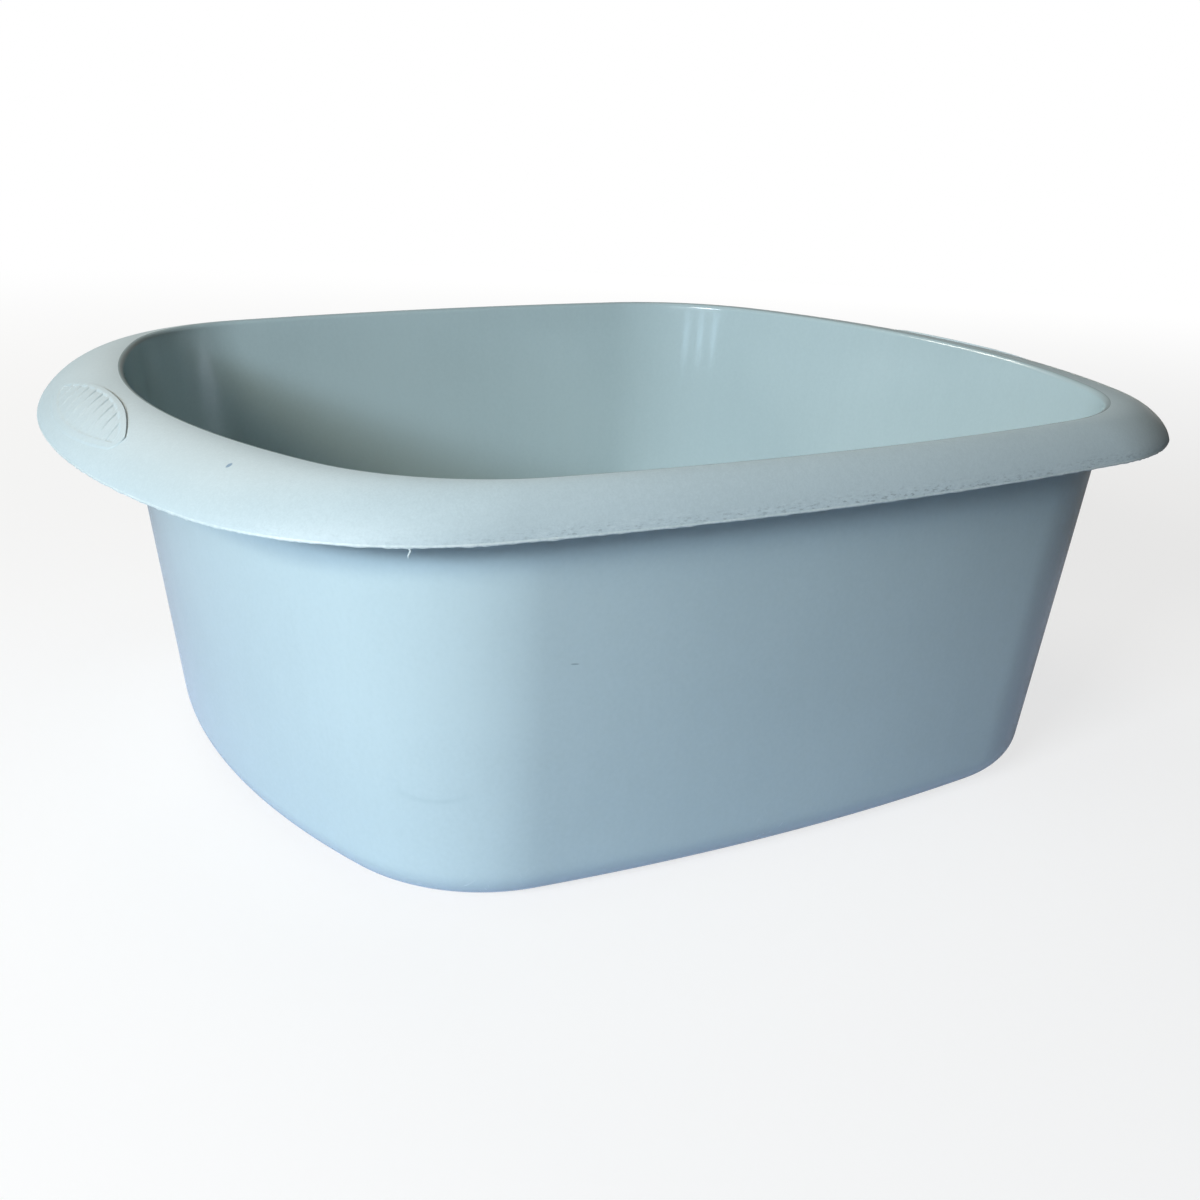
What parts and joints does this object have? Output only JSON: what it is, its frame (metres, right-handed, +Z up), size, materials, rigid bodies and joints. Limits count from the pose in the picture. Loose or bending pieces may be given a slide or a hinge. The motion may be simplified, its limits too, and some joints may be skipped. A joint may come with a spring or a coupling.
{
  "type": "washing up bowl",
  "caption": "Rectangular plastic washing up bowl with bowed, tapering walls, a broad turned-down rim and a ribbed thumb grip in each end; holds water and dishes in a sink.",
  "frame": {"origin": "on the surface that the bowl stands on, under its middle", "axes": "+X along the bowl through the thumb grips in its ends, +Y across it, +Z up"},
  "size_m": [0.4, 0.32, 0.1372],
  "materials": {
    "smooth_plastic": "smooth satin duck-egg blue polypropylene",
    "grained_plastic": "finely grained matt duck-egg blue polypropylene"
  },
  "bodies": {
    "root": {"floor_panel": "smooth_plastic", "base_ring": "smooth_plastic", "tub_wall": "smooth_plastic", "rolled_edge": "smooth_plastic", "rim_flange": "grained_plastic", "rim_lip": "grained_plastic", "left_grip_border": "grained_plastic", "left_grip_ribs": "grained_plastic", "right_grip_border": "grained_plastic", "right_grip_ribs": "grained_plastic"}
  },
  "joints": []
}
